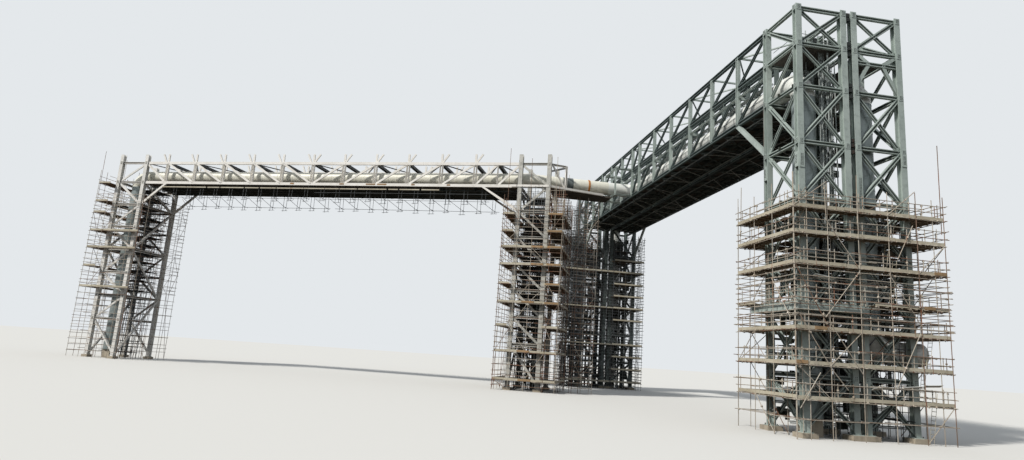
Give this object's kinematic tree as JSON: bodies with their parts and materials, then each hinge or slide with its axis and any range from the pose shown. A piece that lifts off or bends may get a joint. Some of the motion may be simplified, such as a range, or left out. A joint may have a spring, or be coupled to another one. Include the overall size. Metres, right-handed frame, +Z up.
{
  "type": "pipe bridge, 1:10 scale model",
  "caption": "High-level industrial pipe bridge: scaffolded braced towers carry trussed spans with large pipes through them, turning a corner on the way.",
  "frame": {"origin": "underside of the footing below the front left leg of the near tower", "axes": "+X to the right across the twin modules, +Y away along the twin span, +Z up"},
  "size_m": [8.8555, 7.2291, 3.367],
  "materials": {
    "green_steel": "weathered semi-gloss paint",
    "old_grey_steel": "weathered light grey paint",
    "pipe_cladding": "dulled pale cladding",
    "service_pipe": "dull grey",
    "deck_plate": "grimy dark paint",
    "concrete": "rough cast",
    "scaffold_board": "weathered boards",
    "scaffold_tube": "galvanised, rust-stained"
  },
  "bodies": {
    "root": {"corner_frame_bracing": "old_grey_steel", "corner_platform": "deck_plate", "far_tower_footings": "concrete", "far_tower_left_side_bracing": "green_steel", "far_tower_legs": "green_steel", "far_tower_near_bracing": "green_steel", "far_tower_rear_bracing": "green_steel", "far_tower_right_side_bracing": "green_steel", "far_tower_scaffold_decks": "scaffold_board", "left_tower_cross_bracing": "old_grey_steel", "left_tower_footings": "concrete", "left_tower_legs": "old_grey_steel", "left_tower_long_bracing": "old_grey_steel", "left_tower_scaffold_decks": "scaffold_board", "main_pipe_old_span": "pipe_cladding", "main_pipe_twin_span": "pipe_cladding", "mid_tower_cross_bracing": "old_grey_steel", "mid_tower_footings": "concrete", "mid_tower_legs": "old_grey_steel", "mid_tower_long_bracing": "old_grey_steel", "mid_tower_scaffold_decks": "scaffold_board", "near_tower_collar": "green_steel", "near_tower_floors": "deck_plate", "near_tower_footings": "concrete", "near_tower_front_bracing": "green_steel", "near_tower_inner_struts_left": "green_steel", "near_tower_inner_struts_right": "green_steel", "near_tower_left_side_bracing": "green_steel", "near_tower_legs": "green_steel", "near_tower_module_ties": "green_steel", "near_tower_rear_struts": "green_steel", "near_tower_right_side_bracing": "green_steel", "near_tower_scaffold_decks": "scaffold_board", "near_tower_scaffold_rails": "scaffold_tube", "near_tower_scaffold_standards": "scaffold_tube", "old_span_deck": "deck_plate", "old_span_floor_beams": "old_grey_steel", "old_span_forked_heads": "old_grey_steel", "old_span_knee_braces": "old_grey_steel", "old_span_top_struts": "old_grey_steel", "old_span_truss_far": "old_grey_steel", "old_span_truss_near": "old_grey_steel", "pipe_entry_balcony": "green_steel", "pipe_saddles": "green_steel", "riser_pedestals": "concrete", "second_pipe": "pipe_cladding", "service_pipes": "service_pipe", "span_decks": "deck_plate", "span_floor_beams": "green_steel", "span_knee_braces": "green_steel", "span_service_beams": "green_steel", "span_top_struts": "green_steel", "span_truss_far": "green_steel", "span_truss_inner_left": "green_steel", "span_truss_inner_right": "green_steel", "span_truss_near": "green_steel", "tower_scaffold_standards": "scaffold_tube"}
  },
  "joints": []
}
